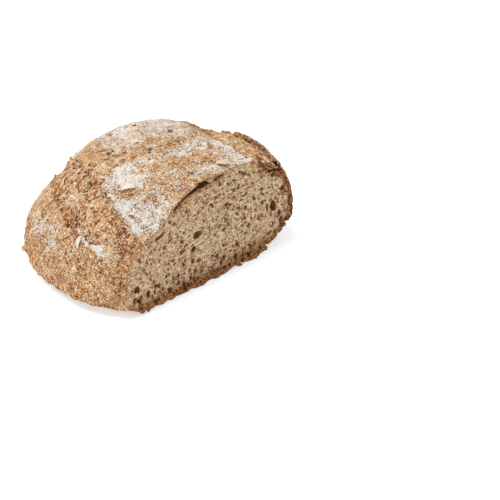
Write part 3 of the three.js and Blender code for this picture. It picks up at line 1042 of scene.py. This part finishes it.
class Flakes:
    """Gathers thin closed flakes, each a bent oval with an uneven edge, into one mesh."""

    def __init__(self, spokes, rings, seed):
        self.turns = np.linspace(0, 2 * math.pi, spokes, endpoint=False)
        self.shares = np.arange(1, rings + 1) / rings
        self.rng = np.random.default_rng(SEED + seed)
        self.faces = self.flake_faces(spokes, rings)
        self.points = []
        self.tints = []
        self.dusts = []

    @staticmethod
    def flake_faces(spokes, rings):
        """Triangles of two covers, each a fan and rings around it, joined by a wall."""
        around = np.arange(spokes)
        onward = (around + 1) % spokes

        def strip(a, b):
            """Triangles between two rings whose points begin at these numbers."""
            near = np.stack([a + around, b + around, b + onward], 1)
            return [near, np.stack([a + around, b + onward, a + onward], 1)]

        starts = 1 + spokes * np.arange(rings)
        top = [np.stack([0 * around, 1 + around, 1 + onward], 1)]
        for a, b in zip(starts, starts[1:]):
            top += strip(a, b)
        top = np.concatenate(top)
        cover = 1 + spokes * rings
        return np.concatenate([top, top[:, ::-1] + cover, *strip(starts[-1], starts[-1] + cover)])

    def flat_flake(self, size, bend):
        """Points of a flake of a length, width and thickness that lies flat."""
        rng = self.rng
        length, width, thick = size
        edge = np.ones(len(self.turns))
        for waves, height in EDGE_WAVES:
            edge += height * np.sin(waves * self.turns + rng.uniform(0, 6))
        reach = np.concatenate([[0], np.repeat(self.shares, len(self.turns))])
        x = np.concatenate([[0], np.outer(self.shares, edge * np.cos(self.turns)).ravel()])
        y = np.concatenate([[0], np.outer(self.shares, edge * np.sin(self.turns)).ravel()])
        half = 0.5 * thick * (1 - EDGE_THINNER * reach**2) * (1 + rng.normal(0, 0.12, len(reach)))
        arch = -bend * length * x**2 + 0.06 * width * rng.uniform(-1, 1) * x * y
        crease = 0.35 * thick * np.exp(-((y / 0.18) ** 2))
        upper = np.stack([x * length / 2, y * width / 2, arch + half - crease], 1)
        lower = np.stack([x * length / 2, y * width / 2, arch - half], 1)
        return np.concatenate([upper, lower])

    def add(self, place, normal, size, heading, bend, tilt, tint, dust):
        """Sets a flake on a surface; without a heading it points any way."""
        flake = self.flat_flake(size, bend)
        normal = np.array(normal, float) + self.rng.normal(0, tilt, 3)
        normal /= np.linalg.norm(normal)
        heading = self.rng.normal(0, 1, 3) if heading is None else np.array(heading, float)
        heading = heading - (heading @ normal) * normal
        heading /= np.linalg.norm(heading)
        axes = np.stack([heading, np.cross(normal, heading), normal])
        self.points.append(flake @ axes + np.array(place, float))
        self.tints.append(tint)
        self.dusts.append(dust)

    def build(self, name, material):
        count = len(self.points[0])
        faces = np.concatenate([self.faces + count * i for i in range(len(self.points))])
        piece = make_object(name, np.concatenate(self.points), faces, material)
        set_field(piece, "tint", np.repeat(self.tints, count))
        set_field(piece, "dust", np.repeat(self.dusts, count))
        return piece


# Oat flakes that stand out on the crust: place, direction they point in, length, width, tint, dust.
OAT_FLAKES = [
    ((-35.8, 31.2, 65.0), (0.62, -0.78, 0.1), 9.0, 3.9, 0.6, 0.6),
    ((16.7, 5.6, 71.5), (0.85, -0.52, 0.0), 8.0, 5.0, 0.8, 0.1),
    ((-61.6, 84.0, 35.8), (0.3, 0.5, 0.6), 6.5, 4.5, 0.4, 0.35),
    ((-43.3, 83.2, 51.3), (0.4, 0.7, 0.6), 7.0, 3.0, 0.6, 0.1),
    ((-57.8, 68.2, 44.0), (0.72, -0.6, -0.2), 5.5, 2.4, 1.0, 0.3),
    ((-67.7, 39.9, 38.1), (0.5, 0.3, 0.75), 8.5, 3.8, 0.8, 0.45),
]


LEAN = [0.08, 0.08, 0]  # what turns these flakes' faces a little to the back right
MORE_FLAKES = 44  # places tried for further flakes
BRAN_CHIPS = 2700
SCORE_STRAWS = 360
CLEAR_OF_BASE, CLEAR_OF_CUT = 2.5, 1.5
BRAN_LENGTH = (1.35, 0.38, 0.7, 3.6)  # middle, spread, least and most


def crust_spots(crust):
    """Places and normals of the crust that lie clear of the base and of the cut."""
    places, normals = places_of(crust), read_vertices(crust, "normal")
    clear = (places[:, 2] > CLEAR_OF_BASE) & (places[:, 1] > CLEAR_OF_CUT)
    return places[clear], normals[clear]


def make_oat_flakes(crust, material):
    """The flakes above, and others away from the front left, where all are named."""
    flakes = Flakes(20, 5, 61)
    places, normals = crust_spots(crust)
    for place, heading, length, width, tint, dust in OAT_FLAKES:
        nearest = np.argmin(np.linalg.norm(places - place, axis=1))
        spot = places[nearest] + 1.2 * normals[nearest]
        leaning = normals[nearest] + LEAN
        flakes.add(spot, leaning, (length, width, 1.0), heading, 0.12, 0.06, tint, dust)
    rng = flakes.rng
    for i in rng.integers(0, len(places), MORE_FLAKES):
        if places[i, 0] < 20 and places[i, 1] < 30:
            continue
        size = (rng.uniform(4.0, 7.5), rng.uniform(2.0, 3.6), 1.1)
        tint, dust = rng.uniform(0.1, 0.8), rng.uniform(0.1, 0.7)
        spot = places[i] + 0.15 * normals[i]
        flakes.add(spot, normals[i], size, None, 0.12, 0.18, tint, dust)
    return flakes.build("oat_flakes", material)


def make_bran(crust, material):
    """Small chips of bran and oat all over the crust, and straws in the left score."""
    chips = Flakes(7, 2, 62)
    places, normals = crust_spots(crust)
    rng = chips.rng
    for i in rng.integers(0, len(places), BRAN_CHIPS):
        length = uneven(rng, *BRAN_LENGTH)
        size = (length, length * rng.uniform(0.35, 0.7), rng.uniform(0.3, 0.5))
        spot = places[i] + 0.1 * normals[i]
        tint, dust = rng.uniform(-0.2, 1.2), rng.uniform(-0.2, 0.6)
        chips.add(spot, normals[i], size, None, 0.12, 0.25, tint, dust)
    in_score = np.nonzero((torn_mask(places, LEFT_SCORE) > 0.6) & (places[:, 2] > 30))[0]
    for i in rng.choice(in_score, SCORE_STRAWS):
        length = rng.uniform(1.2, 3.2)
        size = (length, rng.uniform(0.7, 1.3), rng.uniform(0.4, 0.6))
        spot = places[i] + 0.1 * normals[i]
        chips.add(spot, normals[i], size, None, 0.03, 0.22, rng.uniform(0.3, 1.3), -0.2)
    return chips.build("bran_chips", material)


# Oat bits that show in the cut face: X, Z, length, width, tint.
CRUMB_OATS = [
    (39.6, 45.6, 5.0, 2.6, 0.7),
    (32.3, 29.5, 4.5, 3.0, 0.8),
    (-6.9, 25.8, 5.0, 3.6, 0.9),
    (-29.4, 36.5, 4.0, 2.2, 0.7),
    (-58.0, 14.0, 3.5, 2.0, 0.7),
    (10.0, 57.0, 3.5, 1.6, 0.6),
    (1.6, 67.8, 4.6, 2.6, 0.25),
]
CRUMB_BITS = 170
NO_FLOUR = -0.6


def along_face(turn):
    """A direction in the cut face."""
    return (math.cos(turn), 0, math.sin(turn))


def make_crumb_oats(crumb, material):
    """Oat bits and bran set in the cut face."""
    bits = Flakes(10, 3, 63)
    places = places_of(crumb)
    rng = bits.rng
    face = places[(places[:, 1] < 0.7) & (places[:, 2] > 3)]
    for x, z, length, width, tint in CRUMB_OATS:
        spot = (x, 0.35, z)
        heading = along_face(grain_turn(x, z))
        bits.add(spot, (0, -1, 0), (length, width, 0.9), heading, 0.05, 0.15, tint, NO_FLOUR)
    for i in rng.integers(0, len(face), CRUMB_BITS):
        x, y, z = face[i]
        turn = grain_turn(x, z) + rng.normal(0, 0.5)
        length = rng.uniform(0.9, 2.4)
        size = (length, length * rng.uniform(0.3, 0.6), 0.4)
        heading = along_face(turn)
        tint = rng.uniform(-0.6, 0.9)
        bits.add((x, y + 0.05, z), (0, -1, 0), size, heading, 0.05, 0.3, tint, NO_FLOUR)
    return bits.build("crumb_oats", material)


# ---- Camera, light and floor

CAMERA_HEIGHT = math.radians(31.0)
CAMERA_TURN = math.radians(-44.2)
CAMERA_DISTANCE = 950.0
CAMERA_TARGET = np.array([41.42, 8.02, 0.0])
FOCAL_SHARE = 1506.7 / 500  # focal length over the frame's width
SENSOR = 36.0
CLIP_START, CLIP_END = 0.05, 20


def facing(direction):
    """The rotation of a camera or light that points in a direction."""
    return direction.to_track_quat("-Z", "Y").to_euler()


def make_camera():
    """A camera at the photograph's viewing angle."""
    back = Vector((
        math.sin(CAMERA_TURN) * math.cos(CAMERA_HEIGHT),
        -math.cos(CAMERA_TURN) * math.cos(CAMERA_HEIGHT),
        math.sin(CAMERA_HEIGHT),
    ))
    data = bpy.data.cameras.new("camera")
    data.sensor_width = SENSOR
    data.lens = SENSOR * FOCAL_SHARE
    data.clip_start = CLIP_START
    data.clip_end = CLIP_END
    camera = add_object("camera", data)
    camera.location = Vector((CAMERA_TARGET - OFFSET) * MM) + back * CAMERA_DISTANCE * MM
    camera.rotation_euler = facing(-back)
    bpy.context.scene.camera = camera


SKY = 0.45  # share of the light from all round; the rest is the key light
KEY_FROM = Vector((-0.24, 0.24, 0.94)).normalized()  # where the key light comes from
KEY_SPREAD = math.radians(30)  # and how wide it looks, which softens its shadows


def make_light():
    """Even light from all round and a soft key light from above."""
    world = bpy.data.worlds.new("studio")
    world.use_nodes = True
    background = world.node_tree.nodes["Background"]
    background.inputs["Color"].default_value = (1, 1, 1, 1)
    background.inputs["Strength"].default_value = SKY * FULL_LIGHT
    bpy.context.scene.world = world
    data = bpy.data.lights.new("key", "SUN")
    data.energy = (1 - SKY) * FULL_LIGHT * math.pi / KEY_FROM.z
    data.angle = KEY_SPREAD
    add_object("key", data).rotation_euler = facing(-KEY_FROM)
    bpy.context.scene.view_settings.view_transform = "Standard"


FLOOR_HALF = 3.0
FLOOR_DROP = 0.1 * MM  # keeps the floor clear of the loaf's flat base
FLOOR_LOOKS = {
    "Base Color": (0.84, 0.91, 0.98, 1.0),
    "Roughness": 0.9,
    "Emission Color": (0.94, 0.97, 1.0, 1.0),
    "Emission Strength": 0.46,  # the white table is lit a little from below
}


def make_floor():
    """A white table top."""
    half = FLOOR_HALF
    corners = [(-half, -half, 0), (half, -half, 0), (half, half, 0), (-half, half, 0)]
    mesh = bpy.data.meshes.new("floor")
    mesh.from_pydata(corners, [], [(0, 1, 2, 3)])
    floor = add_object("floor", mesh)
    floor.location.z = -FLOOR_DROP
    paper = bpy.data.materials.new("white_paper")
    paper.use_nodes = True
    surface = paper.node_tree.nodes["Principled BSDF"]
    for name, value in FLOOR_LOOKS.items():
        surface.inputs[name].default_value = value
    mesh.materials.append(paper)


# ---- The scene

make_camera()
make_light()
make_floor()
crust, crumb = make_loaf()
grain = grain_material()
flakes = make_oat_flakes(crust, grain)
bran = make_bran(crust, grain)
oats = make_crumb_oats(crumb, grain)
for piece in (crust, crumb, flakes, bran, oats):
    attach(piece, BODY)
